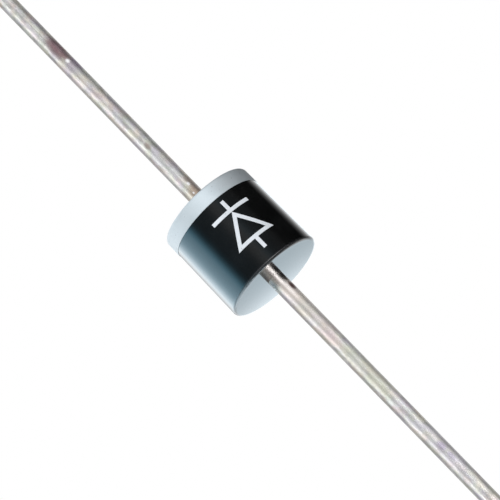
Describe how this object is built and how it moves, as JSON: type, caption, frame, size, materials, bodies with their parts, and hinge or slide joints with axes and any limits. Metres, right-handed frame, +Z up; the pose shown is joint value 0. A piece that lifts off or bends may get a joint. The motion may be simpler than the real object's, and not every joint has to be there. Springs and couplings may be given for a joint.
{
  "type": "axial rectifier diode",
  "caption": "Power rectifier diode in a moulded black cylindrical body, with a pale cathode band and straight tinned wire leads along its axis.",
  "frame": {"origin": "centre of the moulded body, on the axis of the leads, which is also the centre of the overall box", "axes": "+X along the leads from the cathode to the anode, +Z up through the printed side of the body"},
  "size_m": [0.0624, 0.0088, 0.0088],
  "materials": {
    "moulding_compound": "smooth black moulding compound with a soft gloss",
    "silver_ink": "thin matt silver-grey printing ink",
    "tinned_copper": "drawn copper wire with a satin tin plating, lightly streaked along its length",
    "silicon": "sawn and etched silicon",
    "solder": "reflowed high-lead solder",
    "silicone": "cured translucent white silicone"
  },
  "bodies": {
    "root": {"epoxy_body": "moulding_compound", "cathode_band": "silver_ink", "cathode_lead": "tinned_copper", "anode_lead": "tinned_copper", "silicon_die": "silicon", "cathode_solder": "solder", "anode_solder": "solder", "junction_coating": "silicone"}
  },
  "joints": []
}
